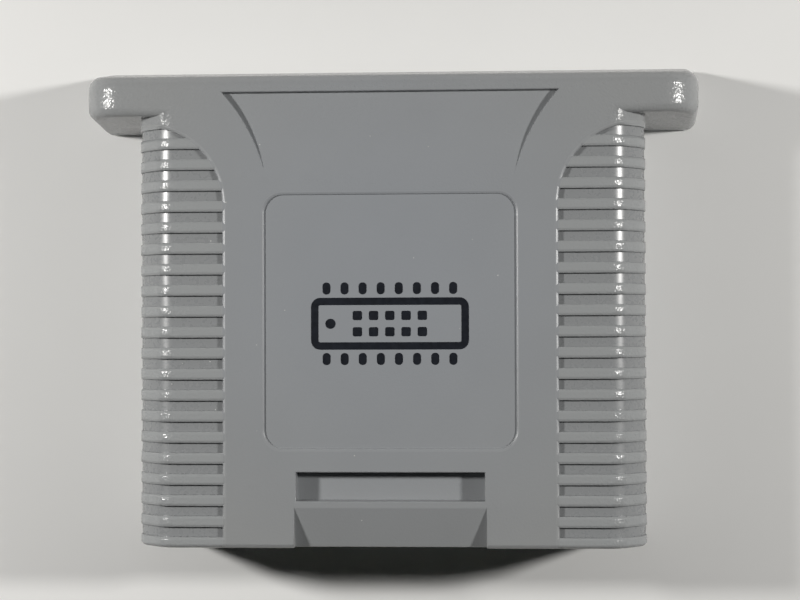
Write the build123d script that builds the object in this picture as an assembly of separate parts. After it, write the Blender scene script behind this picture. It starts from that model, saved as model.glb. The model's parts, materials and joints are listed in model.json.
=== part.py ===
from build123d import *
import os
from math import floor, hypot

# A memory card that plugs into a game controller. Millimetres: X across, Y from the plug end towards the
# flange, Z up out of the front face. The origin is the middle of the rear face. Distances named "up" are
# measured along Y from the plug end.

# Case
CASE_LENGTH = 53.7  # plug end to the top of the flange, at the seam
CASE_THICK = 16.8  # rear face to front face
COVER_THICK = 2.0  # rear face to the seam
FRONT_WALL = 2.0
SIDE_WALL = 1.8
END_WALL = 1.8
EDGE_CUT = 0.35  # slanted front edge of the plug end
REAR_EDGE = 0.35  # slanted rim of the rear face

# Body section: flat front, a slanted shoulder on each side and an upright side wall
BODY_WIDTH = 55.5
SHOULDER_RUN = 3.2  # from the side wall in towards the middle
SHOULDER_DROP = 2.75  # from the front face down
SHOULDER_TOP_RADIUS = 3.0
SHOULDER_SIDE_RADIUS = 2.8

# Flange across the upper end, flared towards the rear
FLANGE_HEIGHT = 4.15  # lower wall to top wall, at the front face
FLANGE_TOP_FLARE = 2.75  # how much further the top wall reaches at the seam
FLANGE_SEAM_WIDTH = 69.2
FLANGE_END_FLARE = 1.45  # how much further each end wall reaches at the seam
FLANGE_END_RADIUS = 4.0  # front face over to each end
FLANGE_LOW_RADIUS = 1.0
FLANGE_TOP_RADIUS = 1.5

# Label recess
LABEL_WIDTH = 27.1
LABEL_HEIGHT = 27.3
LABEL_RAISE = 0.22  # above the middle of the face between the latch pocket and the scoop
LABEL_RADIUS = 2.0
LABEL_DEPTH = 0.2

# Thumb scoop: deepest along its top edge, running out towards the label
SCOOP_TOP_GAP = 1.72  # below the top wall of the flange
SCOOP_HEIGHT = 9.0
SCOOP_TOP_HALF = 18.15
SCOOP_LOW_HALF = 13.4
SCOOP_SIDE_RADIUS = 20.5
SCOOP_DEPTH = 0.8

# Grip grooves, wrapped round both shoulders
GROOVE_PITCH = 2.27
GROOVE_HEIGHT = 1.05
GROOVE_TOP_GAP = 1.43  # lower wall of the flange down to the first groove
GROOVE_LOW_GAP = 0.9  # least distance from the plug end up to the last groove
GRIP_HALF_IN = 18.1  # middle of the face to the inner ends
GRIP_TOP_GAP = 1.2  # lower wall of the flange down to the top of the grip
GRIP_ARC_RADIUS = 8.6  # rounds off the inner ends nearest the flange
GROOVE_FRONT_DEPTH = 0.5
GROOVE_SHOULDER_DEPTH = 0.3
GROOVE_SIDE_DEPTH = 0.15
GROOVE_CORNER_CUT = 0.7  # lower shoulder corner of the floors, cut straight
GROOVE_ROUND_CUTS = (0.75, 0.36)  # upper shoulder corner of the floors, cut twice to round it
GROOVE_STOP_Z = 4.2  # lower end of the grooves on the side walls

# Latch pocket and the ramp that leads into it
POCKET_WIDTH = 20.3
POCKET_LOW_UP = 5.07
POCKET_HEIGHT = 3.08
POCKET_DEPTH = 2.1
RAMP_WIDTH = 20.7
RAMP_UP = 4.4  # where the ramp meets the front face
RAMP_DEPTH = 1.5
LATCH_WALL = 1.1

# Board and its edge contacts
BOARD_THICK = 1.2
BOARD_Z = 6.8  # rear side of the board
BOARD_LOW_UP = 2.5
BOARD_SIDE_GAP = 1.5  # board to the inside of the side walls
BOARD_TOP_GAP = 1.25  # board to the screw bosses
TONGUE_LENGTH = 8.5
TONGUE_MARGIN = 0.75  # outer contacts to the sides of the tongue
CONTACT_COUNT = 16
CONTACT_PITCH = 2.5
CONTACT_WIDTH = 1.6
CONTACT_LENGTH = 6.4
CONTACT_THICK = 0.1
CONTACT_INSET = 0.5  # board edge to contact
MOUTH_MARGIN = 2.2  # sides of the tongue to the sides of the mouth

# Posts that clamp the board, pegs that locate it
POST_DIAMETER = 4.2
POST_INSET = 2.6  # sides and top of the board to the posts
POST_LOW_UP = 13.4
PEG_DIAMETER = 1.8
PEG_CLEARANCE = 0.1
PEG_LENGTH = 1.0  # above the rear side of the board

# Screws, driven from the rear
SCREW_INSET = 6.9  # inside of the side walls to the screws
SCREW_GAP = 3.55  # below the lower wall of the flange
SCREW_DIAMETER = 2.5
SCREW_LENGTH = 9.0
SCREW_CLEARANCE = 0.1
HEAD_DIAMETER = 4.6
HEAD_HEIGHT = 1.5
HEAD_EDGE = 0.5
HEAD_RECESS = 2.2  # rear face to the seat of the head
BOSS_DIAMETER = 6.0
BOSS_SEAM_Z = 5.0  # where the cover's boss meets the shell's boss
CROSS_REACH = 1.5  # middle of the head to the ends of the cross
CROSS_WIDTH = 0.7
CROSS_DEPTH = 0.7

# Locating rails of the rear cover
RAIL_WALL = 1.2
RAIL_HEIGHT = 2.5
RAIL_CLEARANCE = 0.1

# Chips: body length along the lead rows, body width, body height; place across and up; leads in a row
MEMORY_SIZE = (18.0, 8.4, 2.3)
MEMORY_PLACE = (8.4, 27.3)
MEMORY_LEAD_COUNT = 14
DECODER_SIZE = (8.7, 3.9, 1.5)
DECODER_PLACE = (5.0, 18.1)
DECODER_LEAD_COUNT = 7
SUPERVISOR_SIZE = (4.9, 3.9, 1.5)
SUPERVISOR_PLACE = (15.0, 18.1)
SUPERVISOR_LEAD_COUNT = 4
TRANSISTOR_SIZE = (2.9, 1.3, 1.0)
TRANSISTOR_UP = 18.1
CHIP_STANDOFF = 0.15
CHIP_EDGE = 0.2
LEAD_PITCH = 1.27
LEAD_WIDTH = 0.4
LEAD_THICK = 0.2
LEAD_OUT = 0.6  # body side to the outside of the lead's bend
LEAD_FOOT = 0.7
TRANSISTOR_LEAD_SPREAD = 0.95  # middle to each lead of the pair

# Coin cell and its welded straps
CELL_DIAMETER = 20.0
CELL_CAP_DIAMETER = 17.6
CELL_THICK = 3.2
CELL_CAP_THICK = 0.6
CELL_PLACE = (-11.6, 23.7)
STRAP_WIDTH = 4.0
STRAP_THICK = 0.3
STRAP_FOOT = 1.6
STRAP_END = 0.8  # cell edge to the end of the flat strap
STRAP_STANDOFF = 0.6  # cell edge to the strap's upright leg

# Small parts on the board: length along X, width, height
CAPACITOR_SIZE = (2.0, 1.25, 0.9)
CAPACITOR_PLACES = ((2.0, 13.4), (15.0, 13.4), (10.95, 18.1))
RESISTOR_SIZE = (2.0, 1.25, 0.55)
RESISTOR_PLACES = ((-0.4, 13.4), (5.4, 13.4), (8.8, 13.4), (11.9, 13.4))
DIODE_SIZE = (2.7, 1.6, 1.1)
LOW_DIODE_PLACE = (-7.3, 12.9)
HIGH_DIODE_UP = 27.3
STORAGE_SIZE = (3.5, 2.8, 1.9)
STORAGE_PLACE = (-3.6, 13.4)
SIDE_PART_GAP = 0.4  # parts beside the right edge of the board
SMALL_EDGE = 0.1

CUT_MARGIN = 1.0  # how far a cutting tool reaches past the face it opens

plug_end = -CASE_LENGTH / 2
body_half = BODY_WIDTH / 2
front_inner_z = CASE_THICK - FRONT_WALL
side_inner = body_half - SIDE_WALL
flange_top_up = CASE_LENGTH - FLANGE_TOP_FLARE
flange_up = flange_top_up - FLANGE_HEIGHT
seam_half = FLANGE_SEAM_WIDTH / 2
flange_front_half = seam_half - FLANGE_END_FLARE
scoop_top_up = flange_top_up - SCOOP_TOP_GAP
scoop_low_up = scoop_top_up - SCOOP_HEIGHT
pocket_top_up = POCKET_LOW_UP + POCKET_HEIGHT
grip_top_up = flange_up - GRIP_TOP_GAP
groove_first_up = flange_up - GROOVE_TOP_GAP
groove_count = 1 + floor((groove_first_up - GROOVE_HEIGHT - GROOVE_LOW_GAP) / GROOVE_PITCH)
board_top_z = BOARD_Z + BOARD_THICK
board_half = side_inner - BOARD_SIDE_GAP
screw_up = flange_up - SCREW_GAP
board_top_up = screw_up - BOSS_DIAMETER / 2 - BOARD_TOP_GAP
tongue_half = (CONTACT_PITCH * (CONTACT_COUNT - 1) + CONTACT_WIDTH) / 2 + TONGUE_MARGIN
mouth_half = tongue_half + MOUTH_MARGIN
transistor_place = (board_half - SIDE_PART_GAP - TRANSISTOR_SIZE[0] / 2, TRANSISTOR_UP)
high_diode_place = (board_half - SIDE_PART_GAP - DIODE_SIZE[0] / 2, HIGH_DIODE_UP)


def up(distance):
    """Y of a place at a distance from the plug end."""
    return plug_end + distance


def block(x_range, y_range, z_range):
    """Box between three pairs of limits."""
    sizes = [high - low for low, high in (x_range, y_range, z_range)]
    middles = [(high + low) / 2 for low, high in (x_range, y_range, z_range)]
    return Pos(*middles) * Box(*sizes)


def post(x, y, z_range, diameter):
    """Upright cylinder between two heights."""
    low, high = z_range
    return Pos(x, y, low) * Cylinder(diameter / 2, high - low, align=(Align.CENTER, Align.CENTER, Align.MIN))


def along_x(section, x_range):
    """Section drawn as (Y, Z), run along X."""
    low, high = x_range
    return extrude(Plane((low, 0, 0), x_dir=(0, 1, 0), z_dir=(1, 0, 0)) * section, amount=high - low)


def along_y(section, y_range):
    """Section drawn as (X, Z), run along Y."""
    low, high = y_range
    return extrude(Plane((0, high, 0), x_dir=(1, 0, 0), z_dir=(0, -1, 0)) * section, amount=high - low)


def along_z(section, z_range):
    """Section drawn as (X, Y), run along Z."""
    low, high = z_range
    return extrude(Pos(0, 0, low) * section, amount=high - low)


def polygon(*corners):
    return make_face(Polyline(*corners, close=True))


def both_sides(shape):
    """A shape and its mirror image across the middle of the case."""
    return [shape, mirror(shape, about=Plane.YZ)]


def section_corners(front_inset=0.0, shoulder_inset=0.0, side_inset=0.0):
    """Sharp corners of the body section above the seam, with each face moved in by its own inset."""
    slant = hypot(SHOULDER_RUN, SHOULDER_DROP)
    normal_x = SHOULDER_DROP / slant
    normal_z = SHOULDER_RUN / slant
    reach = normal_x * body_half + normal_z * (CASE_THICK - SHOULDER_DROP) - shoulder_inset
    front_z = CASE_THICK - front_inset
    front_x = (reach - normal_z * front_z) / normal_x
    side_x = body_half - side_inset
    side_z = (reach - normal_x * side_x) / normal_z
    corners = [(-side_x, COVER_THICK), (-side_x, side_z), (-front_x, front_z)]
    return corners + [(-x, z) for x, z in reversed(corners)]


def body_section(*insets):
    """Body section with rounded shoulders."""
    corners = section_corners(*insets)
    half_radii = [0, SHOULDER_SIDE_RADIUS, SHOULDER_TOP_RADIUS]
    return make_face(FilletPolyline(*corners, radius=half_radii + half_radii[::-1], close=True))


def body_block():
    """Outside of the body, from the plug end into the flange."""
    solid = along_y(body_section(), (plug_end, up((flange_up + flange_top_up) / 2)))
    end_edges = solid.faces().sort_by(Axis.Y)[0].edges().sort_by(Axis.Z)[1:]
    return chamfer(end_edges, EDGE_CUT)


def flange_block():
    """Outside of the flange: rounded over its ends, with softened lower and top walls."""
    corners = [(-seam_half, COVER_THICK), (-flange_front_half, CASE_THICK)]
    corners += [(-x, z) for x, z in reversed(corners)]
    end_radii = [0, FLANGE_END_RADIUS, FLANGE_END_RADIUS, 0]
    section = make_face(FilletPolyline(*corners, radius=end_radii, close=True))
    loaf = along_y(section, (up(flange_up), up(CASE_LENGTH)))
    top_cut = polygon(
        (up(CASE_LENGTH), COVER_THICK), (up(flange_top_up), CASE_THICK), (up(CASE_LENGTH), CASE_THICK),
    )
    solid = loaf - along_x(top_cut, (-seam_half, seam_half))
    low_edges = solid.faces().sort_by(Axis.Y)[0].edges().sort_by(Axis.Z)[1:]
    solid = fillet(low_edges, FLANGE_LOW_RADIUS)
    top_edges = solid.faces().sort_by(Axis.Y)[-1].edges().sort_by(Axis.Z)[1:]
    return fillet(top_edges, FLANGE_TOP_RADIUS)


def shell_cavity():
    """Inside of the front shell, with the flange's ends cored out."""
    top_seam = up(CASE_LENGTH - END_WALL)
    top_front = up(flange_top_up - END_WALL)
    room = polygon(
        (up(END_WALL), COVER_THICK), (top_seam, COVER_THICK),
        (top_front, front_inner_z), (up(END_WALL), front_inner_z),
    )
    section = body_section(FRONT_WALL, FRONT_WALL, SIDE_WALL)
    cavity = along_x(room, (-body_half, body_half)) & along_y(section, (plug_end, up(CASE_LENGTH)))
    core_z = CASE_THICK - FLANGE_END_RADIUS - FRONT_WALL
    core_share = (core_z - COVER_THICK) / (front_inner_z - COVER_THICK)
    core_top = top_seam + (top_front - top_seam) * core_share
    core = polygon(
        (up(flange_up + END_WALL), COVER_THICK), (top_seam, COVER_THICK),
        (core_top, core_z), (up(flange_up + END_WALL), core_z),
    )
    core_half = flange_front_half - END_WALL
    return cavity + along_x(core, (-core_half, core_half))


def mouth_cut():
    """Opening in the end wall for the controller's connector."""
    return block(
        (-mouth_half, mouth_half),
        (plug_end - CUT_MARGIN, up(END_WALL) + CUT_MARGIN),
        (COVER_THICK - CUT_MARGIN, front_inner_z),
    )


def latch_backing():
    """Inner walls that carry the latch pocket and the ramp."""
    half = RAMP_WIDTH / 2 + LATCH_WALL
    root_z = CASE_THICK - FRONT_WALL / 2
    ramp_end_z = CASE_THICK - RAMP_DEPTH - LATCH_WALL
    run_out = (root_z - ramp_end_z) * RAMP_UP / RAMP_DEPTH
    ramp_wall = polygon((plug_end, root_z), (plug_end, ramp_end_z), (up(run_out), root_z))
    box = block(
        (-half, half),
        (up(POCKET_LOW_UP - LATCH_WALL), up(pocket_top_up + LATCH_WALL)),
        (CASE_THICK - POCKET_DEPTH - LATCH_WALL, root_z),
    )
    return along_x(ramp_wall, (-half, half)) + box


def latch_cuts():
    """Pocket for the controller's catch and the ramp the catch rides up."""
    pocket = block(
        (-POCKET_WIDTH / 2, POCKET_WIDTH / 2),
        (up(POCKET_LOW_UP), up(pocket_top_up)),
        (CASE_THICK - POCKET_DEPTH, CASE_THICK + CUT_MARGIN),
    )
    over_cut = RAMP_DEPTH * CUT_MARGIN / RAMP_UP
    ramp = polygon(
        (up(RAMP_UP), CASE_THICK),
        (plug_end - CUT_MARGIN, CASE_THICK - RAMP_DEPTH - over_cut),
        (plug_end - CUT_MARGIN, CASE_THICK + CUT_MARGIN),
        (up(RAMP_UP), CASE_THICK + CUT_MARGIN),
    )
    return [pocket, along_x(ramp, (-RAMP_WIDTH / 2, RAMP_WIDTH / 2))]


def label_cut():
    """Shallow recess for the label."""
    middle = (pocket_top_up + scoop_low_up) / 2 + LABEL_RAISE
    plan = Pos(0, up(middle)) * RectangleRounded(LABEL_WIDTH, LABEL_HEIGHT, LABEL_RADIUS)
    return along_z(plan, (CASE_THICK - LABEL_DEPTH, CASE_THICK + CUT_MARGIN))


def scoop_cut():
    """Thumb scoop: a funnel outline over a floor that slopes down towards the flange."""
    low = up(scoop_low_up)
    top = up(scoop_top_up)
    outline = Polyline((-SCOOP_LOW_HALF, low), (SCOOP_LOW_HALF, low))
    outline += RadiusArc((SCOOP_LOW_HALF, low), (SCOOP_TOP_HALF, top), SCOOP_SIDE_RADIUS)
    outline += Line((SCOOP_TOP_HALF, top), (-SCOOP_TOP_HALF, top))
    outline += RadiusArc((-SCOOP_TOP_HALF, top), (-SCOOP_LOW_HALF, low), SCOOP_SIDE_RADIUS)
    plan = along_z(make_face(outline), (CASE_THICK - SCOOP_DEPTH, CASE_THICK + CUT_MARGIN))
    slope = polygon(
        (low, CASE_THICK), (top, CASE_THICK - SCOOP_DEPTH),
        (top, CASE_THICK + CUT_MARGIN), (low, CASE_THICK + CUT_MARGIN),
    )
    return plan & along_x(slope, (-SCOOP_TOP_HALF, SCOOP_TOP_HALF))


def grip_plan():
    """Plan of one grip: straight inner side, rounded off next to the flange."""
    outer = body_half + CUT_MARGIN
    top = up(grip_top_up)
    arc_start = (GRIP_HALF_IN, top - GRIP_ARC_RADIUS)
    arc_end = (GRIP_HALF_IN + GRIP_ARC_RADIUS, top)
    outline = Polyline(arc_end, (outer, top), (outer, plug_end), (GRIP_HALF_IN, plug_end), arc_start)
    outline += RadiusArc(arc_start, arc_end, GRIP_ARC_RADIUS)
    return make_face(outline)


def groove_cuts():
    """Grooves of both grips, each following the front face, the shoulder and the side wall."""
    width = body_half + CUT_MARGIN - GRIP_HALF_IN
    plan = grip_plan()
    slots = Sketch()
    for row in range(groove_count):
        middle = groove_first_up - row * GROOVE_PITCH - GROOVE_HEIGHT / 2
        slots += Pos(GRIP_HALF_IN + width / 2, up(middle)) * Rectangle(width, GROOVE_HEIGHT) & plan
    corners = section_corners(GROOVE_FRONT_DEPTH, GROOVE_SHOULDER_DEPTH, GROOVE_SIDE_DEPTH)
    section = polygon(*corners)
    section = chamfer(section.vertices().sort_by(Axis.Y)[2:4], GROOVE_CORNER_CUT)
    for cut in GROOVE_ROUND_CUTS:
        section = chamfer(section.vertices().sort_by(Axis.Y)[6:], cut)
    core = along_y(section, (plug_end, up(flange_up)))
    return both_sides(along_z(slots, (GROOVE_STOP_Z, CASE_THICK + CUT_MARGIN)) - core)


def post_places():
    """Where the board is clamped, one at each corner."""
    half_span = board_half - POST_INSET
    distances = (POST_LOW_UP, board_top_up - POST_INSET)
    return [(side * half_span, up(distance)) for distance in distances for side in (-1, 1)]


def peg_places():
    """Two opposite corners, where the board is also located."""
    return post_places()[::3]


def screw_places():
    return [(side * (side_inner - SCREW_INSET), up(screw_up)) for side in (-1, 1)]


def front_shell():
    """Deep tray with the flange, the grips and the latch, open to the rear and at the plug end."""
    solid = body_block() + flange_block()
    solid -= shell_cavity()
    solid -= mouth_cut()
    solid += latch_backing()
    for x, y in post_places():
        solid += post(x, y, (board_top_z, front_inner_z), POST_DIAMETER)
    pilot = SCREW_DIAMETER + SCREW_CLEARANCE
    for x, y in screw_places():
        solid += post(x, y, (BOSS_SEAM_Z, front_inner_z), BOSS_DIAMETER)
        solid -= post(x, y, (BOSS_SEAM_Z, HEAD_RECESS + SCREW_LENGTH + SCREW_CLEARANCE), pilot)
    solid -= [*latch_cuts(), label_cut(), scoop_cut()]
    return solid - groove_cuts()


def cover_plan():
    """Outline of the rear cover, the same as the front shell's at the seam."""
    corners = [
        (body_half, plug_end), (body_half, up(flange_up)),
        (seam_half, up(flange_up)), (seam_half, up(CASE_LENGTH)),
    ]
    corners += [(-x, y) for x, y in reversed(corners)]
    half_radii = [0, 0, FLANGE_LOW_RADIUS, FLANGE_TOP_RADIUS]
    return make_face(FilletPolyline(*corners, radius=half_radii + half_radii[::-1], close=True))


def rear_cover():
    """Shallow lid with board posts, screw bosses and rails that slide inside the shell's walls."""
    solid = along_z(cover_plan(), (0, COVER_THICK))
    solid = chamfer(solid.edges().filter_by(Axis.Z).group_by(Axis.Y)[0], EDGE_CUT)
    solid = chamfer(solid.faces().sort_by(Axis.Z)[0].edges(), REAR_EDGE)
    rail_out = side_inner - RAIL_CLEARANCE
    rail = block(
        (rail_out - RAIL_WALL, rail_out),
        (up(END_WALL + RAIL_CLEARANCE), up(flange_up - RAIL_CLEARANCE)),
        (COVER_THICK, COVER_THICK + RAIL_HEIGHT),
    )
    solid += both_sides(rail)
    for x, y in post_places():
        solid += post(x, y, (COVER_THICK, BOARD_Z), POST_DIAMETER)
    for x, y in peg_places():
        solid += post(x, y, (BOARD_Z, BOARD_Z + PEG_LENGTH), PEG_DIAMETER)
    for x, y in screw_places():
        solid += post(x, y, (COVER_THICK, BOSS_SEAM_Z), BOSS_DIAMETER)
        solid -= post(x, y, (0, HEAD_RECESS), HEAD_DIAMETER + 2 * SCREW_CLEARANCE)
        solid -= post(x, y, (HEAD_RECESS, BOSS_SEAM_Z), SCREW_DIAMETER + 2 * SCREW_CLEARANCE)
    return solid


def case_screws():
    """Pan-head screws, seated in the rear cover and driven into the front shell's bosses."""
    screws = []
    for x, y in screw_places():
        head_low = HEAD_RECESS - HEAD_HEIGHT
        head = post(x, y, (head_low, HEAD_RECESS), HEAD_DIAMETER)
        head = chamfer(head.edges().sort_by(Axis.Z)[0], HEAD_EDGE)
        z_range = (0, head_low + CROSS_DEPTH)
        half = CROSS_WIDTH / 2
        slot = block((x - CROSS_REACH, x + CROSS_REACH), (y - half, y + half), z_range)
        cross = block((x - half, x + half), (y - CROSS_REACH, y + CROSS_REACH), z_range)
        shank = post(x, y, (HEAD_RECESS, HEAD_RECESS + SCREW_LENGTH), SCREW_DIAMETER)
        screws.append(head + shank - slot - cross)
    return Compound(screws)


def circuit_board():
    """Board with a narrower tongue for the edge contacts and two peg holes."""
    low = up(BOARD_LOW_UP)
    neck = up(BOARD_LOW_UP + TONGUE_LENGTH)
    corners = [(tongue_half, low), (tongue_half, neck), (board_half, neck), (board_half, up(board_top_up))]
    corners += [(-x, y) for x, y in reversed(corners)]
    solid = along_z(polygon(*corners), (BOARD_Z, board_top_z))
    for x, y in peg_places():
        solid -= post(x, y, (BOARD_Z, board_top_z), PEG_DIAMETER + 2 * PEG_CLEARANCE)
    return solid


def edge_contacts(z_low):
    """Row of gold contacts on one side of the tongue."""
    low = up(BOARD_LOW_UP + CONTACT_INSET)
    first_x = -CONTACT_PITCH * (CONTACT_COUNT - 1) / 2
    contacts = []
    for index in range(CONTACT_COUNT):
        x = first_x + index * CONTACT_PITCH
        x_range = (x - CONTACT_WIDTH / 2, x + CONTACT_WIDTH / 2)
        contacts.append(block(x_range, (low, low + CONTACT_LENGTH), (z_low, z_low + CONTACT_THICK)))
    return Compound(contacts)


def board_block(size, place, standoff=0.0, edge=SMALL_EDGE):
    """Soft-edged block standing on the board."""
    length, width, height = size
    x, distance = place
    low_z = board_top_z + standoff
    solid = block(
        (x - length / 2, x + length / 2),
        (up(distance) - width / 2, up(distance) + width / 2),
        (low_z, low_z + height),
    )
    return chamfer(solid.faces().sort_by(Axis.Z)[-1].edges(), edge)


def chip_body(size, place):
    return board_block(size, place, CHIP_STANDOFF, CHIP_EDGE)


def gull_lead(size, place, lead_x, side):
    """One bent lead from the side of a chip down to the board."""
    width, height = size[1:]
    x, distance = place
    mid_z = board_top_z + CHIP_STANDOFF + height / 2
    steps = [
        (0, mid_z + LEAD_THICK / 2), (LEAD_OUT, mid_z + LEAD_THICK / 2),
        (LEAD_OUT, board_top_z + LEAD_THICK), (LEAD_OUT + LEAD_FOOT, board_top_z + LEAD_THICK),
        (LEAD_OUT + LEAD_FOOT, board_top_z), (LEAD_OUT - LEAD_THICK, board_top_z),
        (LEAD_OUT - LEAD_THICK, mid_z - LEAD_THICK / 2), (0, mid_z - LEAD_THICK / 2),
    ]
    section = polygon(*[(up(distance) + side * (width / 2 + out), z) for out, z in steps])
    return along_x(section, (x + lead_x - LEAD_WIDTH / 2, x + lead_x + LEAD_WIDTH / 2))


def chip_leads(size, place, per_side):
    """Both rows of leads of a small-outline chip."""
    first_x = -LEAD_PITCH * (per_side - 1) / 2
    rows = [first_x + index * LEAD_PITCH for index in range(per_side)]
    return Compound([gull_lead(size, place, lead_x, side) for lead_x in rows for side in (-1, 1)])


def transistor_leads():
    """A pair of leads on one side and a single one on the other."""
    spots = ((-TRANSISTOR_LEAD_SPREAD, -1), (TRANSISTOR_LEAD_SPREAD, -1), (0, 1))
    return Compound([gull_lead(TRANSISTOR_SIZE, transistor_place, lead_x, side) for lead_x, side in spots])


def coin_cell():
    """Stepped cell, cap side down on its strap."""
    x, distance = CELL_PLACE
    low_z = board_top_z + STRAP_THICK
    step_z = low_z + CELL_CAP_THICK
    cap = post(x, up(distance), (low_z, step_z), CELL_CAP_DIAMETER)
    can = post(x, up(distance), (step_z, low_z + CELL_THICK), CELL_DIAMETER)
    return cap + can


def cell_negative_tab():
    """Flat strap on the board, from under the cell out past its upper edge."""
    x, distance = CELL_PLACE
    far = up(distance) + CELL_DIAMETER / 2 + STRAP_END
    x_range = (x - STRAP_WIDTH / 2, x + STRAP_WIDTH / 2)
    return block(x_range, (up(distance), far), (board_top_z, board_top_z + STRAP_THICK))


def cell_positive_tab():
    """Bent strap from the top of the cell over its lower edge and down to the board."""
    x, distance = CELL_PLACE
    roof_z = board_top_z + STRAP_THICK + CELL_THICK
    leg = up(distance) - CELL_DIAMETER / 2 - STRAP_STANDOFF
    section = polygon(
        (up(distance), roof_z), (up(distance), roof_z + STRAP_THICK),
        (leg - STRAP_THICK, roof_z + STRAP_THICK), (leg - STRAP_THICK, board_top_z + STRAP_THICK),
        (leg - STRAP_FOOT, board_top_z + STRAP_THICK), (leg - STRAP_FOOT, board_top_z),
        (leg, board_top_z), (leg, roof_z),
    )
    return along_x(section, (x - STRAP_WIDTH / 2, x + STRAP_WIDTH / 2))


def board_group(size, places):
    return Compound([board_block(size, place) for place in places])


def build_parts():
    """Every piece of the card, by the name of its node."""
    return {
        "front_shell": front_shell(),
        "rear_cover": rear_cover(),
        "case_screws": case_screws(),
        "circuit_board": circuit_board(),
        "front_contacts": edge_contacts(board_top_z),
        "rear_contacts": edge_contacts(BOARD_Z - CONTACT_THICK),
        "memory_chip": chip_body(MEMORY_SIZE, MEMORY_PLACE),
        "memory_chip_leads": chip_leads(MEMORY_SIZE, MEMORY_PLACE, MEMORY_LEAD_COUNT),
        "decoder_chip": chip_body(DECODER_SIZE, DECODER_PLACE),
        "decoder_chip_leads": chip_leads(DECODER_SIZE, DECODER_PLACE, DECODER_LEAD_COUNT),
        "supervisor_chip": chip_body(SUPERVISOR_SIZE, SUPERVISOR_PLACE),
        "supervisor_chip_leads": chip_leads(SUPERVISOR_SIZE, SUPERVISOR_PLACE, SUPERVISOR_LEAD_COUNT),
        "switch_transistor": chip_body(TRANSISTOR_SIZE, transistor_place),
        "switch_transistor_leads": transistor_leads(),
        "coin_cell": coin_cell(),
        "cell_positive_tab": cell_positive_tab(),
        "cell_negative_tab": cell_negative_tab(),
        "chip_capacitors": board_group(CAPACITOR_SIZE, CAPACITOR_PLACES),
        "chip_resistors": board_group(RESISTOR_SIZE, RESISTOR_PLACES),
        "backup_diodes": board_group(DIODE_SIZE, (LOW_DIODE_PLACE, high_diode_place)),
        "storage_capacitor": board_block(STORAGE_SIZE, STORAGE_PLACE),
    }


os.makedirs("parts", exist_ok=True)
for name, shape in build_parts().items():
    export_step(shape, f"parts/{name}.step")
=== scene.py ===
import json
import math

import bmesh
import bpy
from mathutils import Matrix, Vector


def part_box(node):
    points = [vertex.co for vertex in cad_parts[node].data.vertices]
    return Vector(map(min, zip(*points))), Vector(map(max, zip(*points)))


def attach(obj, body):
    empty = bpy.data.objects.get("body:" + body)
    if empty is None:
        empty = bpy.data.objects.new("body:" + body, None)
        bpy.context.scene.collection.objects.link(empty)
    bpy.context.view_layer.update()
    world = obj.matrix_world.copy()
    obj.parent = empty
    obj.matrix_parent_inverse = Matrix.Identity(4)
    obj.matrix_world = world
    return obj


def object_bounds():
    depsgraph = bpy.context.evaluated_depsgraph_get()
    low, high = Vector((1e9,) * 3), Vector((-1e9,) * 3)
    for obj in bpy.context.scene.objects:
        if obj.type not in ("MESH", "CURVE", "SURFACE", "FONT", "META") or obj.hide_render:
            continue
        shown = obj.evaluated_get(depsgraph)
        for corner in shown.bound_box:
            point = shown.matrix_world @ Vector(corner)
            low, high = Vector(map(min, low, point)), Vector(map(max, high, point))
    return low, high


# Looks of the memory card. Metres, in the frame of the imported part: X across, Y from the plug end towards
# the flange, Z up out of the front face.

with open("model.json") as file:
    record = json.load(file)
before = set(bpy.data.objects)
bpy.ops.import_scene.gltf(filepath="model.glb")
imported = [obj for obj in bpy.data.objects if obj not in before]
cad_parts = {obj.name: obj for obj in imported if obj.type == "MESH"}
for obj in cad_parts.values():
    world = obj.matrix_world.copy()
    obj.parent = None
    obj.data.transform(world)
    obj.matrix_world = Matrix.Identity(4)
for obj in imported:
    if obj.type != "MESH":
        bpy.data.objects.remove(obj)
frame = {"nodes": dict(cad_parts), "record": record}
cad_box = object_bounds()
nodes = frame["nodes"]

MM = 0.001

# Camera, as fitted to the photograph
CAMERA_PLACE = (10.69 * MM, -5.11 * MM, 190.8 * MM)
CAMERA_ROLL = 0.0030
CAMERA_PITCH = -0.0130
CAMERA_YAW = -0.0492
CAMERA_LENS = 73.05  # in millimetres, as is the sensor
CAMERA_SENSOR = 36.0
CAMERA_SHIFT = (-0.0118, 0.0310)
CAMERA_NEAR = 10 * MM
CAMERA_FAR = 10.0

# Studio
FLOOR_SIZE = 4.0
FLOOR_COLOUR = (0.80, 0.80, 0.79)
FLOOR_LIT_REACH = 90 * MM  # up to here the floor shows only the lamps' light
FLOOR_PALE_REACH = 240 * MM  # from here on it is as pale as the backdrop
HORIZON_LOW = 0.25  # upward part of a ray's direction where the backdrop starts to fade from reflections
HORIZON_HIGH = 0.45
FILL_STRENGTH = 0.014
LEFT_LAMP_PLACE = (-178 * MM, 38 * MM, 162 * MM)
LEFT_LAMP_AIM = (-44 * MM, -64 * MM, 0.0)
LEFT_LAMP_POWER = 0.42
RIGHT_LAMP_PLACE = (211 * MM, 34 * MM, 174 * MM)
RIGHT_LAMP_AIM = (62 * MM, 3 * MM, 0.0)
RIGHT_LAMP_POWER = 0.477
LAMP_SIZE = 26 * MM
LAMP_COLOUR = (1.0, 0.985, 0.96)
PAPER_MOTTLING_SIZE = 12 * MM
PAPER_MOTTLING = 0.006
PAPER_GLOSS_SIZE = 1 * MM
PAPER_ROUGHNESS = (0.85, 0.95)

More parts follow.
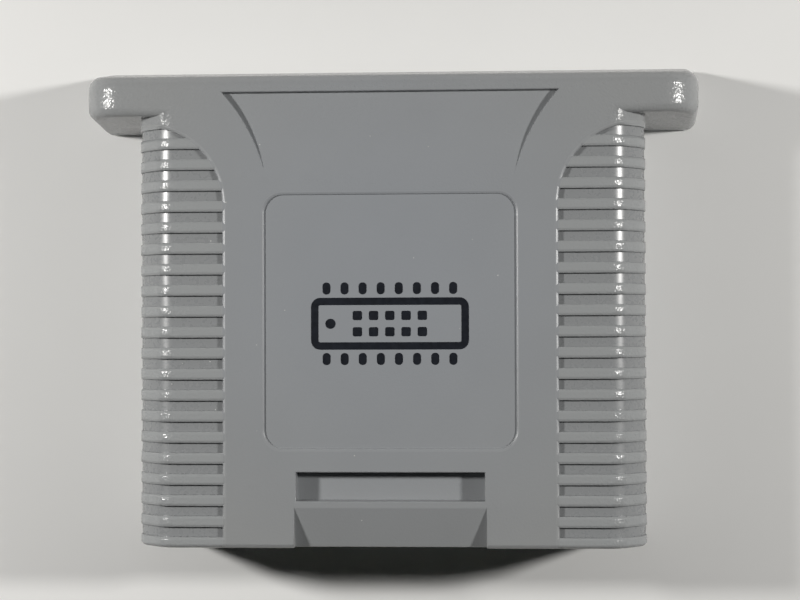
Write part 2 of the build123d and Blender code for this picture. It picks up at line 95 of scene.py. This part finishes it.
# Case plastic
PLASTIC_COOL = (0.287, 0.305, 0.333)  # middle of the front face
PLASTIC_PLAIN = (0.286, 0.294, 0.297)  # outer parts
COOL_MIDDLE = (0.0, 2 * MM, 0.0)
COOL_REACH = 10 * MM
PLAIN_REACH = 36 * MM
GRAIN_SIZE = 0.27 * MM
GRAIN_DETAIL = 1.0
GRAIN_FINE_HEIGHT = 0.015 * MM
GRAIN_COARSE_HEIGHT = 0.06 * MM
GRAIN_FINE_REACH = 17 * MM  # up to here from the middle, sideways or towards the flange, the grain is fine
GRAIN_COARSE_REACH = 23 * MM  # from here on it is coarse
CASE_MOTTLING_SIZE = 7 * MM
CASE_MOTTLING = 0.015
CASE_GLOSS_SIZE = 0.5 * MM
CASE_ROUGHNESS = (0.19, 0.25)
FLOOR_EXTRA_ROUGHNESS = 0.06
RIM_EXTRA_ROUGHNESS = 0.14
# Painted highlight and painted shade: the ribs are painted lighter for the light their rounded tops catch,
# and the groove floors are painted darker for the shade inside the grooves
RIB_PAINTED_HIGHLIGHT = (0.312, 0.323, 0.328)
GROOVE_PAINTED_SHADE = (0.246, 0.254, 0.260)
DUST_SPACING = 2.6 * MM
DUST_SIZE = 0.06 * MM
DUST_COLOUR = (0.62, 0.62, 0.60)
RIM_WIDTH = 0.32 * MM  # soft rims round the label and the grooves
RIM_DROP = 0.095 * MM
EDGE_ROUNDING = 0.12 * MM
EDGE_SEGMENTS = 3
MOULDED_EDGE = math.radians(30)  # edges sharper than this are rounded
CREASE = math.radians(40)  # edges that are still sharper than this shade as creases
FLAT_ANGLE = math.radians(0.5)  # facets within this angle make one face
WELD_REACH = 0.002 * MM

# Grip grooves of the front shell, whose floors are smoother than the ribs
GROOVE_PITCH = 2.27 * MM
GROOVE_HEIGHT = 1.05 * MM
GROOVE_FIRST_UP = 45.37 * MM  # plug end to the top of the first groove
GRIP_HALF_IN = 18.1 * MM  # middle of the case to the inner ends of the grooves
GRIP_TOP_UP = 45.6 * MM  # plug end to the top of the grips
GRIP_ARC_RADIUS = 8.6 * MM  # rounds off the inner ends nearest the flange
GROOVE_STOP_Z = 4.2 * MM  # lower end of the grooves on the side walls

# Label recess
LABEL_SIZE = (27.1 * MM, 27.3 * MM)
LABEL_RADIUS = 2.0 * MM
LABEL_MIDDLE_UP = 24.41 * MM  # plug end to the middle of the label
LABEL_DEPTH = 0.2 * MM

# Print in the label recess: a plain drawing of a chip
PRINT_THICK = 0.02 * MM
PRINT_MIDDLE = (0.0, -2.7 * MM)
PRINT_CORNER_STEPS = 6
BODY_SIZE = (17.0 * MM, 5.6 * MM)
BODY_RADIUS = 1.0 * MM
STROKE = 0.8 * MM
PIN_SIZE = (0.85 * MM, 1.3 * MM)
PIN_RADIUS = 0.4 * MM
PIN_COUNT = 8
PIN_PITCH = 1.95 * MM
PIN_GAP = 0.35 * MM
BIT_SIZE = 1.0 * MM
BIT_RADIUS = 0.2 * MM
BIT_COLUMNS = 5
BIT_ROWS = 2
BIT_PITCH = 1.75 * MM
MARK_SIZE = 1.1 * MM  # round mark at the first pin
MARK_INSET = 2.1 * MM
INK_COLOUR = (0.008, 0.010, 0.015)
INK_SPECULAR = 0.2
INK_MOTTLING_SIZE = 0.8 * MM
INK_MOTTLING = 0.25
INK_GLOSS_SIZE = 0.4 * MM
INK_ROUGHNESS = (0.45, 0.60)
INK_GRAIN_SIZE = 0.15 * MM
INK_GRAIN_HEIGHT = 0.006 * MM

# Board
MASK_COLOUR = (0.016, 0.100, 0.042)
TRACE_COLOUR = (0.040, 0.190, 0.080)
TRACE_PITCH = 0.9 * MM
TRACE_SHARE = 0.4
TRACE_PATCH = 7 * MM
TRACE_HEIGHT = 0.03 * MM
TRACE_TURN = 0.6  # in patches with a random number above this the traces run across
BOARD_MOTTLING_SIZE = 1.5 * MM
BOARD_MOTTLING = 0.12
BOARD_GLOSS_SIZE = 0.6 * MM
BOARD_ROUGHNESS = (0.28, 0.40)

# Contacts
GOLD_COLOUR = (0.83, 0.63, 0.24)
GOLD_ROUGHNESS = (0.20, 0.36)
SCRATCH_SIZES = (0.06 * MM, 3 * MM, 1 * MM)
SCRATCH_DETAIL = 3.0
SCRATCH_MOTTLING = 0.12
SCRATCH_HEIGHT = 0.004 * MM

# Coin cell
CELL_COLOUR = (0.66, 0.66, 0.67)
CELL_MOTTLING_SIZE = 3 * MM
CELL_MOTTLING = 0.05
CELL_GLOSS_SIZE = 0.8 * MM
CELL_ROUGHNESS = (0.20, 0.30)
CELL_RING_SIZE = 0.04 * MM
CELL_RING_HEIGHT = 0.002 * MM

# Screws and small parts on the board: colour, roughness and metallic share
PLAIN_FINISHES = {
    "screw_steel": ((0.5, 0.5, 0.52), 0.35, 1.0),
    "chip_epoxy": ((0.02, 0.02, 0.022), 0.55, 0.0),
    "tinned_metal": ((0.62, 0.62, 0.6), 0.35, 1.0),
    "capacitor_ceramic": ((0.45, 0.33, 0.2), 0.5, 0.0),
    "resistor_ceramic": ((0.03, 0.03, 0.035), 0.4, 0.0),
    "storage_epoxy": ((0.65, 0.42, 0.08), 0.5, 0.0),
}
FINISH_MOTTLING_SIZE = 0.8 * MM
FINISH_MOTTLING = 0.1
FINISH_GLOSS_SIZE = 0.4 * MM
FINISH_GLOSS_SPREAD = 0.05
FINISH_GRAIN_SIZE = 0.2 * MM
FINISH_GRAIN_HEIGHT = 0.01 * MM

# Range that noise values mostly keep to
NOISE_LOW = 0.25
NOISE_HIGH = 0.75


def camera_turn():
    """Rotation that takes the camera's axes into the frame."""
    roll = Matrix.Rotation(CAMERA_ROLL, 3, "Z")
    pitch = Matrix.Rotation(CAMERA_PITCH, 3, "X")
    yaw = Matrix.Rotation(CAMERA_YAW, 3, "Y")
    return (roll @ pitch @ yaw).transposed()


def add_camera():
    data = bpy.data.cameras.new("camera")
    data.sensor_fit = "HORIZONTAL"
    data.sensor_width = CAMERA_SENSOR
    data.lens = CAMERA_LENS
    data.shift_x, data.shift_y = CAMERA_SHIFT
    data.clip_start = CAMERA_NEAR
    data.clip_end = CAMERA_FAR
    camera = bpy.data.objects.new("camera", data)
    camera.matrix_world = Matrix.Translation(CAMERA_PLACE) @ camera_turn().to_4x4()
    bpy.context.scene.collection.objects.link(camera)
    bpy.context.scene.camera = camera


def add_lamp(name, place, aim, power):
    """Round lamp above one side of the flange, aimed at a place on the floor."""
    data = bpy.data.lights.new(name, "AREA")
    data.shape = "DISK"
    data.size = LAMP_SIZE
    data.energy = power
    data.color = LAMP_COLOUR
    lamp = bpy.data.objects.new(name, data)
    lamp.location = place
    lamp.rotation_mode = "QUATERNION"
    lamp.rotation_quaternion = (Vector(aim) - Vector(place)).to_track_quat("-Z", "Y")
    lamp.visible_camera = False
    bpy.context.scene.collection.objects.link(lamp)


def feed(tree, socket, value):
    """Links a socket to a value, or sets it where the value is a plain number."""
    if isinstance(value, bpy.types.NodeSocket):
        tree.links.new(value, socket)
    else:
        socket.default_value = value


def arithmetic(tree, operation, first, second=0.0):
    """Result of a calculation with sockets or plain numbers."""
    node = tree.nodes.new("ShaderNodeMath")
    node.operation = operation
    feed(tree, node.inputs[0], first)
    feed(tree, node.inputs[1], second)
    return node.outputs[0]


def fade(tree, value, start, end, low=0.0, high=1.0, kind="LINEAR"):
    """Number that goes from low to high while a value goes from start to end."""
    node = tree.nodes.new("ShaderNodeMapRange")
    node.interpolation_type = kind
    node.inputs["From Min"].default_value = start
    node.inputs["From Max"].default_value = end
    node.inputs["To Min"].default_value = low
    node.inputs["To Max"].default_value = high
    tree.links.new(value, node.inputs["Value"])
    return node.outputs["Result"]


def axes(tree, vector):
    """The three parts of a vector."""
    node = tree.nodes.new("ShaderNodeSeparateXYZ")
    tree.links.new(vector, node.inputs[0])
    return node.outputs


def distance(tree, place, middle):
    """Distance of a place from a fixed point."""
    node = tree.nodes.new("ShaderNodeVectorMath")
    node.operation = "DISTANCE"
    node.inputs[1].default_value = middle
    tree.links.new(place, node.inputs[0])
    return node.outputs["Value"]


def stretched(tree, place, sizes):
    """Place in units of the three given sizes."""
    node = tree.nodes.new("ShaderNodeVectorMath")
    node.operation = "DIVIDE"
    node.inputs[1].default_value = sizes
    tree.links.new(place, node.inputs[0])
    return node.outputs["Vector"]


def seen_rays(tree):
    """One for rays that show what they meet: from the camera, by reflection or through glass."""
    path = tree.nodes.new("ShaderNodeLightPath").outputs
    mirrored = arithmetic(tree, "MAXIMUM", path["Is Glossy Ray"], path["Is Transmission Ray"])
    return arithmetic(tree, "MAXIMUM", path["Is Camera Ray"], mirrored)


def add_world():
    """Weak even fill for the object, and a pale backdrop round the horizon for what is seen or mirrored."""
    world = bpy.data.worlds.new("studio")
    world.use_nodes = True
    bpy.context.scene.world = world
    tree = world.node_tree
    tree.nodes.clear()
    output = tree.nodes.new("ShaderNodeOutputWorld")
    mix = tree.nodes.new("ShaderNodeMixShader")
    fill = tree.nodes.new("ShaderNodeBackground")
    fill.inputs["Strength"].default_value = FILL_STRENGTH
    backdrop = tree.nodes.new("ShaderNodeBackground")
    backdrop.inputs["Color"].default_value = (*FLOOR_COLOUR, 1)
    upward = axes(tree, tree.nodes.new("ShaderNodeTexCoord").outputs["Generated"])[2]
    band = fade(tree, upward, HORIZON_LOW, HORIZON_HIGH, 1.0, 0.0)
    tree.links.new(arithmetic(tree, "MULTIPLY", seen_rays(tree), band), mix.inputs[0])
    tree.links.new(fill.outputs[0], mix.inputs[1])
    tree.links.new(backdrop.outputs[0], mix.inputs[2])
    tree.links.new(mix.outputs[0], output.inputs[0])


def new_material(name):
    """Empty material with its tree, its surface shader and the coordinates of the part's frame."""
    material = bpy.data.materials.new(name)
    material.use_nodes = True
    tree = material.node_tree
    shader = tree.nodes["Principled BSDF"]
    place = tree.nodes.new("ShaderNodeTexCoord").outputs["Object"]
    return material, tree, shader, place


def noise(tree, place, size, detail=2.0):
    """Noise with features of a size in metres."""
    node = tree.nodes.new("ShaderNodeTexNoise")
    node.inputs["Scale"].default_value = 1 / size
    node.inputs["Detail"].default_value = detail
    tree.links.new(place, node.inputs["Vector"])
    return node.outputs["Fac"]


def ramp(tree, value, low, high):
    """Maps the middle of a noise value onto a range of numbers."""
    return fade(tree, value, NOISE_LOW, NOISE_HIGH, low, high)


def blend(tree, factor, first, second):
    """Colour between two colours, which are sockets or plain colours."""
    node = tree.nodes.new("ShaderNodeMix")
    node.data_type = "RGBA"
    tree.links.new(factor, node.inputs["Factor"])
    for socket, colour in (("A", first), ("B", second)):
        feed(tree, node.inputs[socket], (*colour, 1) if isinstance(colour, tuple) else colour)
    return node.outputs["Result"]


def tint(tree, value, colour, spread):
    """Colour that is a little darker or lighter by the middle of a noise value."""
    dark, light = shade(colour, 1 - spread), shade(colour, 1 + spread)
    return blend(tree, ramp(tree, value, 0.0, 1.0), dark, light)


def shade(colour, factor):
    return tuple(channel * factor for channel in colour)


def mottle(tree, shader, place, colour, size, amount):
    """Gives a surface a slightly uneven colour."""
    tree.links.new(tint(tree, noise(tree, place, size), colour, amount), shader.inputs["Base Color"])


def roughen(tree, shader, place, size, low, high):
    """Gives a surface an uneven gloss."""
    tree.links.new(ramp(tree, noise(tree, place, size), low, high), shader.inputs["Roughness"])


def bump(tree, shader, height, depth=1.0):
    """Relief as deep as the height times a depth in metres."""
    node = tree.nodes.new("ShaderNodeBump")
    node.inputs["Distance"].default_value = depth
    tree.links.new(height, node.inputs["Height"])
    tree.links.new(node.outputs["Normal"], shader.inputs["Normal"])


def stripes(tree, value, pitch, share):
    """One on stripes at a pitch, each as wide as its share of the pitch, and nought between them."""
    turn = arithmetic(tree, "FRACT", arithmetic(tree, "DIVIDE", value, pitch))
    return arithmetic(tree, "LESS_THAN", turn, share)


def corner_reach(tree, across, along):
    """Length of the diagonal of two distances, of which those below nought count as nought."""
    squares = []
    for part in (across, along):
        over = arithmetic(tree, "MAXIMUM", part, 0.0)
        squares.append(arithmetic(tree, "MULTIPLY", over, over))
    return arithmetic(tree, "SQRT", arithmetic(tree, "ADD", *squares))


def outside_label(tree, x, y):
    """Distance outside the label recess, below nought inside it."""
    up = arithmetic(tree, "SUBTRACT", y, cad_box[0].y + LABEL_MIDDLE_UP)
    parts = []
    for part, size in zip((x, up), LABEL_SIZE):
        from_middle = arithmetic(tree, "ABSOLUTE", part)
        parts.append(arithmetic(tree, "SUBTRACT", from_middle, size / 2 - LABEL_RADIUS))
    return arithmetic(tree, "SUBTRACT", corner_reach(tree, *parts), LABEL_RADIUS)


def outside_grip(tree, x, y):
    """Distance outside the two ribbed grips, below nought inside them."""
    inward = arithmetic(tree, "SUBTRACT", GRIP_HALF_IN + GRIP_ARC_RADIUS, arithmetic(tree, "ABSOLUTE", x))
    above = arithmetic(tree, "SUBTRACT", y, cad_box[0].y + GRIP_TOP_UP - GRIP_ARC_RADIUS)
    return arithmetic(tree, "SUBTRACT", corner_reach(tree, inward, above), GRIP_ARC_RADIUS)


def outside_groove(tree, y, from_grip):
    """Distance outside the grip grooves, below nought inside them."""
    first_middle = cad_box[0].y + GROOVE_FIRST_UP - GROOVE_HEIGHT / 2
    turns = arithmetic(tree, "DIVIDE", arithmetic(tree, "SUBTRACT", first_middle, y), GROOVE_PITCH)
    nearest = arithmetic(tree, "SUBTRACT", turns, arithmetic(tree, "ROUND", turns))
    away = arithmetic(tree, "MULTIPLY", arithmetic(tree, "ABSOLUTE", nearest), GROOVE_PITCH)
    return arithmetic(tree, "MAXIMUM", arithmetic(tree, "SUBTRACT", away, GROOVE_HEIGHT / 2), from_grip)


def near_rim(tree, gap):
    """One on the soft rim along an edge, and nought away from it."""
    from_middle = arithmetic(tree, "ABSOLUTE", arithmetic(tree, "SUBTRACT", gap, RIM_WIDTH / 2))
    return fade(tree, from_middle, RIM_WIDTH / 2, RIM_WIDTH, 1.0, 0.0)


def dust(tree, place):
    """One on a few small specks."""
    node = tree.nodes.new("ShaderNodeTexVoronoi")
    node.inputs["Scale"].default_value = 1 / DUST_SPACING
    tree.links.new(place, node.inputs["Vector"])
    return arithmetic(tree, "LESS_THAN", node.outputs["Distance"], DUST_SIZE / DUST_SPACING)


def case_plastic():
    """Grey moulded plastic: sparkling grain, smooth groove floors, soft moulded rims and a few specks, with
    a painted highlight on the ribs and painted shade on the groove floors.
    """
    material, tree, shader, place = new_material("case_plastic")
    x, y, z = axes(tree, place)
    in_front = arithmetic(tree, "GREATER_THAN", z, GROOVE_STOP_Z)
    from_label = outside_label(tree, x, y)
    from_grip = outside_grip(tree, x, y)
    from_groove = outside_groove(tree, y, from_grip)
    in_grip = arithmetic(tree, "LESS_THAN", from_grip, 0.0)
    in_groove = arithmetic(tree, "LESS_THAN", from_groove, 0.0)

    mottling = noise(tree, place, CASE_MOTTLING_SIZE)
    cool, plain = (tint(tree, mottling, colour, CASE_MOTTLING) for colour in (PLASTIC_COOL, PLASTIC_PLAIN))
    away = distance(tree, place, COOL_MIDDLE)
    colour = blend(tree, fade(tree, away, COOL_REACH, PLAIN_REACH), cool, plain)
    # Painted highlight on the ribs of the grips and painted shade on the groove floors
    for mask, other in ((in_grip, RIB_PAINTED_HIGHLIGHT), (in_groove, GROOVE_PAINTED_SHADE)):
        colour = blend(tree, arithmetic(tree, "MULTIPLY", in_front, mask), colour, other)
    tree.links.new(blend(tree, dust(tree, place), colour, DUST_COLOUR), shader.inputs["Base Color"])

    on_rims = arithmetic(tree, "MAXIMUM", near_rim(tree, from_grip), near_rim(tree, from_label))
    smooth = arithmetic(tree, "MULTIPLY", in_front, arithmetic(tree, "MAXIMUM", in_groove, on_rims))
    extra = fade(tree, on_rims, 0.0, 1.0, FLOOR_EXTRA_ROUGHNESS, RIM_EXTRA_ROUGHNESS)
    gloss = ramp(tree, noise(tree, place, CASE_GLOSS_SIZE), *CASE_ROUGHNESS)
    softer = arithmetic(tree, "MULTIPLY", smooth, extra)
    tree.links.new(arithmetic(tree, "ADD", gloss, softer), shader.inputs["Roughness"])

    gaps = (from_label, from_groove)
    rims = [fade(tree, gap, 0.0, RIM_WIDTH, -RIM_DROP, 0.0, "SMOOTHSTEP") for gap in gaps]
    dips = arithmetic(tree, "MULTIPLY", in_front, arithmetic(tree, "ADD", *rims))
    reach = arithmetic(tree, "MAXIMUM", arithmetic(tree, "ABSOLUTE", x), y)
    height = fade(tree, reach, GRAIN_FINE_REACH, GRAIN_COARSE_REACH, GRAIN_FINE_HEIGHT, GRAIN_COARSE_HEIGHT)
    grained = arithmetic(tree, "MULTIPLY", height, arithmetic(tree, "SUBTRACT", 1.0, smooth))
    grain = arithmetic(tree, "MULTIPLY", grained, noise(tree, place, GRAIN_SIZE, GRAIN_DETAIL))
    bump(tree, shader, arithmetic(tree, "ADD", dips, grain))
    return material


def plain_finish(name, colour, roughness, metallic):
    """Material with slight mottling, uneven gloss and a fine surface grain."""
    material, tree, shader, place = new_material(name)
    mottle(tree, shader, place, colour, FINISH_MOTTLING_SIZE, FINISH_MOTTLING)
    low, high = roughness - FINISH_GLOSS_SPREAD, roughness + FINISH_GLOSS_SPREAD
    roughen(tree, shader, place, FINISH_GLOSS_SIZE, low, high)
    shader.inputs["Metallic"].default_value = metallic
    bump(tree, shader, noise(tree, place, FINISH_GRAIN_SIZE), FINISH_GRAIN_HEIGHT)
    return material


def board_laminate():
    """Green solder mask over copper traces, which run along or across in patches."""
    material, tree, shader, place = new_material("board_laminate")
    patch = tree.nodes.new("ShaderNodeTexVoronoi")
    patch.inputs["Scale"].default_value = 1 / TRACE_PATCH
    tree.links.new(place, patch.inputs["Vector"])
    across = arithmetic(tree, "GREATER_THAN", axes(tree, patch.outputs["Color"])[0], TRACE_TURN)
    x, y, _ = axes(tree, place)
    lines_along = stripes(tree, x, TRACE_PITCH, TRACE_SHARE)
    lines_across = stripes(tree, y, TRACE_PITCH, TRACE_SHARE)
    turned = arithmetic(tree, "MULTIPLY", across, arithmetic(tree, "SUBTRACT", lines_across, lines_along))
    traces = arithmetic(tree, "ADD", lines_along, turned)
    mottling = noise(tree, place, BOARD_MOTTLING_SIZE)
    mask, copper = (tint(tree, mottling, colour, BOARD_MOTTLING) for colour in (MASK_COLOUR, TRACE_COLOUR))
    tree.links.new(blend(tree, traces, mask, copper), shader.inputs["Base Color"])
    roughen(tree, shader, place, BOARD_GLOSS_SIZE, *BOARD_ROUGHNESS)
    bump(tree, shader, traces, TRACE_HEIGHT)
    return material


def contact_gold():
    """Gold plating with fine wiping scratches along the contacts."""
    material, tree, shader, place = new_material("contact_gold")
    scratches = noise(tree, stretched(tree, place, SCRATCH_SIZES), 1.0, SCRATCH_DETAIL)
    tree.links.new(tint(tree, scratches, GOLD_COLOUR, SCRATCH_MOTTLING), shader.inputs["Base Color"])
    tree.links.new(ramp(tree, scratches, *GOLD_ROUGHNESS), shader.inputs["Roughness"])
    shader.inputs["Metallic"].default_value = 1.0
    bump(tree, shader, scratches, SCRATCH_HEIGHT)
    return material


def cell_steel():
    """Nickel-plated can of the coin cell with a turned finish."""
    material, tree, shader, place = new_material("cell_steel")
    low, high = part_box("coin_cell")
    reach = distance(tree, place, (low + high) / 2)
    rings = arithmetic(tree, "SINE", arithmetic(tree, "DIVIDE", reach, CELL_RING_SIZE))
    mottle(tree, shader, place, CELL_COLOUR, CELL_MOTTLING_SIZE, CELL_MOTTLING)
    roughen(tree, shader, place, CELL_GLOSS_SIZE, *CELL_ROUGHNESS)
    shader.inputs["Metallic"].default_value = 1.0
    bump(tree, shader, rings, CELL_RING_HEIGHT)
    return material


def label_ink():
    """Dark screen-printed ink, slightly uneven."""
    material, tree, shader, place = new_material("label_ink")
    mottle(tree, shader, place, INK_COLOUR, INK_MOTTLING_SIZE, INK_MOTTLING)
    roughen(tree, shader, place, INK_GLOSS_SIZE, *INK_ROUGHNESS)
    shader.inputs["Specular IOR Level"].default_value = INK_SPECULAR
    bump(tree, shader, noise(tree, place, INK_GRAIN_SIZE), INK_GRAIN_HEIGHT)
    return material


def floor_paper():
    """Matt pale paper that turns into the even backdrop away from the part."""
    material, tree, shader, place = new_material("floor_paper")
    mottle(tree, shader, place, FLOOR_COLOUR, PAPER_MOTTLING_SIZE, PAPER_MOTTLING)
    roughen(tree, shader, place, PAPER_GLOSS_SIZE, *PAPER_ROUGHNESS)
    shader.inputs["Specular IOR Level"].default_value = 0.0
    away = fade(tree, distance(tree, place, (0, 0, 0)), FLOOR_LIT_REACH, FLOOR_PALE_REACH)
    backdrop = tree.nodes.new("ShaderNodeEmission")
    backdrop.inputs["Color"].default_value = (*FLOOR_COLOUR, 1)
    mix = tree.nodes.new("ShaderNodeMixShader")
    tree.links.new(arithmetic(tree, "MULTIPLY", away, seen_rays(tree)), mix.inputs[0])
    tree.links.new(shader.outputs[0], mix.inputs[1])
    tree.links.new(backdrop.outputs[0], mix.inputs[2])
    tree.links.new(mix.outputs[0], tree.nodes["Material Output"].inputs["Surface"])
    return material


def dress_nodes():
    """Gives every CAD node the material of its slot in the record."""
    finishes = {name: plain_finish(name, *values) for name, values in PLAIN_FINISHES.items()}
    finishes["case_plastic"] = case_plastic()
    finishes["board_laminate"] = board_laminate()
    finishes["contact_gold"] = contact_gold()
    finishes["cell_steel"] = cell_steel()
    for subpart in frame["record"]["subparts"]:
        node = nodes[subpart["node"]]
        node.data.materials.clear()
        node.data.materials.append(finishes[subpart["material_slot"]])


def geometry_steps(name):
    """Node group for a modifier, with its tree, incoming geometry and output."""
    tree = bpy.data.node_groups.new(name, "GeometryNodeTree")
    tree.interface.new_socket("Geometry", in_out="INPUT", socket_type="NodeSocketGeometry")
    tree.interface.new_socket("Geometry", in_out="OUTPUT", socket_type="NodeSocketGeometry")
    start = tree.nodes.new("NodeGroupInput").outputs[0]
    end = tree.nodes.new("NodeGroupOutput").inputs[0]
    return tree, start, end


def edges_sharper(tree, angle, which):
    """One on edges whose angle between faces is larger than a given one."""
    node = tree.nodes.new("GeometryNodeInputMeshEdgeAngle")
    return arithmetic(tree, "GREATER_THAN", node.outputs[which], angle)


def outer_edges():
    """Marks the outward edges for rounding."""
    tree, start, end = geometry_steps("outer_edges")
    mark = tree.nodes.new("GeometryNodeStoreNamedAttribute")
    mark.data_type = "FLOAT"
    mark.domain = "EDGE"
    mark.inputs["Name"].default_value = "bevel_weight_edge"
    tree.links.new(start, mark.inputs["Geometry"])
    tree.links.new(edges_sharper(tree, MOULDED_EDGE, "Signed Angle"), mark.inputs["Value"])
    tree.links.new(mark.outputs["Geometry"], end)
    return tree


def smooth_faces():
    """Shades all faces smooth up to the creases."""
    tree, start, end = geometry_steps("smooth_faces")
    faces = tree.nodes.new("GeometryNodeSetShadeSmooth")
    faces.domain = "FACE"
    faces.inputs["Shade Smooth"].default_value = True
    creases = tree.nodes.new("GeometryNodeSetShadeSmooth")
    creases.domain = "EDGE"
    creases.inputs["Shade Smooth"].default_value = False
    tree.links.new(start, faces.inputs["Geometry"])
    tree.links.new(faces.outputs["Geometry"], creases.inputs["Geometry"])
    tree.links.new(edges_sharper(tree, CREASE, "Unsigned Angle"), creases.inputs["Selection"])
    tree.links.new(creases.outputs["Geometry"], end)
    return tree


def round_edges(names):
    """Rounds the outward edges of moulded pieces slightly."""
    steps_before, steps_after = outer_edges(), smooth_faces()
    for name in names:
        modifiers = nodes[name].modifiers
        modifiers.new("joined_facets", "WELD").merge_threshold = WELD_REACH
        whole = modifiers.new("whole_faces", "DECIMATE")
        whole.decimate_type = "DISSOLVE"
        whole.angle_limit = FLAT_ANGLE
        modifiers.new("outer_edges", "NODES").node_group = steps_before
        bevel = modifiers.new("round_edges", "BEVEL")
        bevel.width = EDGE_ROUNDING
        bevel.segments = EDGE_SEGMENTS
        bevel.limit_method = "WEIGHT"
        bevel.use_clamp_overlap = False
        bevel.miter_outer = "MITER_ARC"
        modifiers.new("smooth_faces", "NODES").node_group = steps_after
        modifiers.new("even_shading", "WEIGHTED_NORMAL").keep_sharp = True


def rounded_outline(middle, size, radius):
    """Points round a rectangle with round corners, anticlockwise."""
    points = []
    for quarter, (side_x, side_y) in enumerate(((1, 1), (-1, 1), (-1, -1), (1, -1))):
        corner_x = middle[0] + side_x * (size[0] / 2 - radius)
        corner_y = middle[1] + side_y * (size[1] / 2 - radius)
        for step in range(PRINT_CORNER_STEPS + 1):
            angle = math.pi / 2 * (quarter + step / PRINT_CORNER_STEPS)
            points.append((corner_x + radius * math.cos(angle), corner_y + radius * math.sin(angle)))
    return points


def add_walls(bm, low_ring, high_ring):
    """Faces between two rings with the same number of points."""
    for index in range(len(low_ring)):
        bm.faces.new((low_ring[index - 1], low_ring[index], high_ring[index], high_ring[index - 1]))


def ring_at(bm, outline, z):
    return [bm.verts.new((x, y, z)) for x, y in outline]


def add_patch(bm, outline, low_z, high_z):
    """Solid patch of print inside an outline."""
    low_ring, high_ring = ring_at(bm, outline, low_z), ring_at(bm, outline, high_z)
    add_walls(bm, low_ring, high_ring)
    bm.faces.new(high_ring)
    bm.faces.new(low_ring[::-1])


def add_frame(bm, outer, inner, low_z, high_z):
    """Line of print between two outlines."""
    outer_low, outer_high = ring_at(bm, outer, low_z), ring_at(bm, outer, high_z)
    inner_low, inner_high = ring_at(bm, inner, low_z), ring_at(bm, inner, high_z)
    add_walls(bm, outer_low, outer_high)
    add_walls(bm, outer_high, inner_high)
    add_walls(bm, inner_high, inner_low)
    add_walls(bm, inner_low, outer_low)


def spread(count, pitch):
    """Places of a row of things at a pitch, about its middle."""
    return [(index - (count - 1) / 2) * pitch for index in range(count)]


def label_print():
    """Drawing of a chip, printed in the label recess: body, pins, rows of bits and the first pin's mark."""
    low_z = cad_box[1].z - LABEL_DEPTH
    high_z = low_z + PRINT_THICK
    middle_x, middle_y = PRINT_MIDDLE
    bm = bmesh.new()
    inside = (BODY_SIZE[0] - 2 * STROKE, BODY_SIZE[1] - 2 * STROKE)
    outer = rounded_outline(PRINT_MIDDLE, BODY_SIZE, BODY_RADIUS)
    inner = rounded_outline(PRINT_MIDDLE, inside, BODY_RADIUS - STROKE)
    add_frame(bm, outer, inner, low_z, high_z)
    pin_up = BODY_SIZE[1] / 2 + PIN_GAP + PIN_SIZE[1] / 2
    for x in spread(PIN_COUNT, PIN_PITCH):
        for side in (-1, 1):
            pin = (middle_x + x, middle_y + side * pin_up)
            add_patch(bm, rounded_outline(pin, PIN_SIZE, PIN_RADIUS), low_z, high_z)
    for x in spread(BIT_COLUMNS, BIT_PITCH):
        for y in spread(BIT_ROWS, BIT_PITCH):
            bit = (middle_x + x, middle_y + y)
            add_patch(bm, rounded_outline(bit, (BIT_SIZE, BIT_SIZE), BIT_RADIUS), low_z, high_z)
    mark = (middle_x - BODY_SIZE[0] / 2 + MARK_INSET, middle_y)
    add_patch(bm, rounded_outline(mark, (MARK_SIZE, MARK_SIZE), MARK_SIZE / 2), low_z, high_z)
    mesh = bpy.data.meshes.new("label_print")
    bm.to_mesh(mesh)
    bm.free()
    piece = bpy.data.objects.new("label_print", mesh)
    piece.data.materials.append(label_ink())
    bpy.context.scene.collection.objects.link(piece)
    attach(piece, "root")


def add_floor():
    bm = bmesh.new()
    bmesh.ops.create_grid(bm, x_segments=1, y_segments=1, size=FLOOR_SIZE / 2)
    mesh = bpy.data.meshes.new("floor")
    bm.to_mesh(mesh)
    bm.free()
    floor = bpy.data.objects.new("floor", mesh)
    floor.data.materials.append(floor_paper())
    bpy.context.scene.collection.objects.link(floor)


bpy.context.scene.view_settings.view_transform = "Standard"
add_camera()
add_world()
add_floor()
add_lamp("left_lamp", LEFT_LAMP_PLACE, LEFT_LAMP_AIM, LEFT_LAMP_POWER)
add_lamp("right_lamp", RIGHT_LAMP_PLACE, RIGHT_LAMP_AIM, RIGHT_LAMP_POWER)
dress_nodes()
round_edges(("front_shell", "rear_cover"))
label_print()
